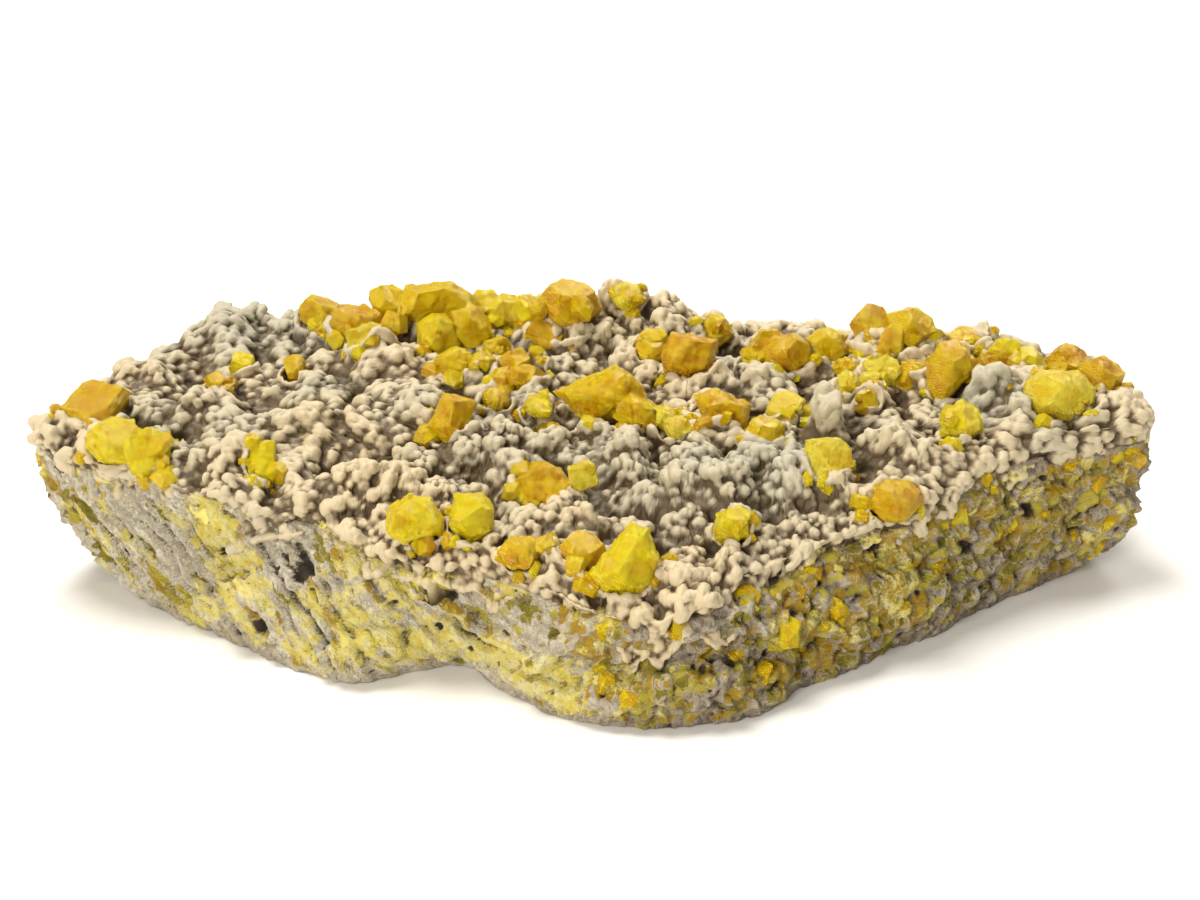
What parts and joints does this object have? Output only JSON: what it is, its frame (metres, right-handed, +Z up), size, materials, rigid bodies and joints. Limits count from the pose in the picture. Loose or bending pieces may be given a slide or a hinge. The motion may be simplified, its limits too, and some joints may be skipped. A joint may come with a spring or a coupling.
{
  "type": "native sulfur crystal",
  "caption": "Natural mineral specimen: a limestone slab with a knobbly aragonite crust carrying translucent yellow to amber sulfur crystals, resting on its flat underside.",
  "frame": {"origin": "middle of the flat face that the slab rests on, under the middle of the specimen's bounding box", "axes": "+X along the specimen's length, +Y to its back, +Z up from the face it rests on"},
  "size_m": [0.2817, 0.1554, 0.0655],
  "materials": {
    "limestone": "rough broken bedded limestone, grey-brown, with yellow sulfur in its seams",
    "aragonite": "knobbly botryoidal aragonite, grey to cream, satin",
    "sulfur_amber": "translucent amber sulfur crystal, resinous lustre",
    "sulfur_gold": "translucent golden sulfur crystal, resinous lustre",
    "sulfur_lemon": "translucent lemon-yellow sulfur crystal, resinous lustre",
    "sulfur_pale": "pale, partly etched sulfur, satin"
  },
  "bodies": {
    "root": {"aragonite_crust": "aragonite", "limestone_matrix": "limestone", "sulfur_back_left": "sulfur_gold", "sulfur_back_middle": "sulfur_lemon", "sulfur_back_right": "sulfur_gold", "sulfur_ball": "sulfur_gold", "sulfur_box": "sulfur_amber", "sulfur_bright": "sulfur_lemon", "sulfur_centre": "sulfur_gold", "sulfur_chip": "sulfur_gold", "sulfur_clear": "sulfur_amber", "sulfur_cube": "sulfur_amber", "sulfur_drum": "sulfur_gold", "sulfur_edge_orange": "sulfur_amber", "sulfur_flake": "sulfur_lemon", "sulfur_front": "sulfur_lemon", "sulfur_front_dark": "sulfur_amber", "sulfur_front_left": "sulfur_lemon", "sulfur_front_left_twin": "sulfur_lemon", "sulfur_front_right": "sulfur_lemon", "sulfur_front_shade": "sulfur_amber", "sulfur_frost": "sulfur_pale", "sulfur_glitter": "sulfur_amber", "sulfur_gold_ball": "sulfur_gold", "sulfur_granules": "sulfur_pale", "sulfur_great_cluster": "sulfur_gold", "sulfur_hollow": "sulfur_amber", "sulfur_hollow_flake": "sulfur_pale", "sulfur_horizon": "sulfur_gold", "sulfur_knob": "sulfur_gold", "sulfur_leaning": "sulfur_gold", "sulfur_left_bar": "sulfur_gold", "sulfur_left_bits": "sulfur_lemon", "sulfur_left_chip": "sulfur_gold", "sulfur_left_sheets": "sulfur_lemon", "sulfur_left_slab": "sulfur_gold", "sulfur_lime_plate": "sulfur_lemon", "sulfur_mirror": "sulfur_pale", "sulfur_pair": "sulfur_gold", "sulfur_pebble": "sulfur_gold", "sulfur_prism": "sulfur_gold", "sulfur_right_cluster": "sulfur_gold", "sulfur_right_tip": "sulfur_amber", "sulfur_roof": "sulfur_amber", "sulfur_sheaf": "sulfur_gold", "sulfur_shoulder_mass": "sulfur_pale", "sulfur_shoulder_pair": "sulfur_lemon", "sulfur_slab_pair": "sulfur_pale", "sulfur_small_gold": "sulfur_gold", "sulfur_standing": "sulfur_gold", "sulfur_streak": "sulfur_lemon", "sulfur_striped": "sulfur_lemon", "sulfur_tail": "sulfur_amber", "sulfur_tan": "sulfur_pale", "sulfur_wall_left": "sulfur_amber", "sulfur_wedge": "sulfur_gold", "sulfur_yellow_ridge": "sulfur_pale"}
  },
  "joints": []
}
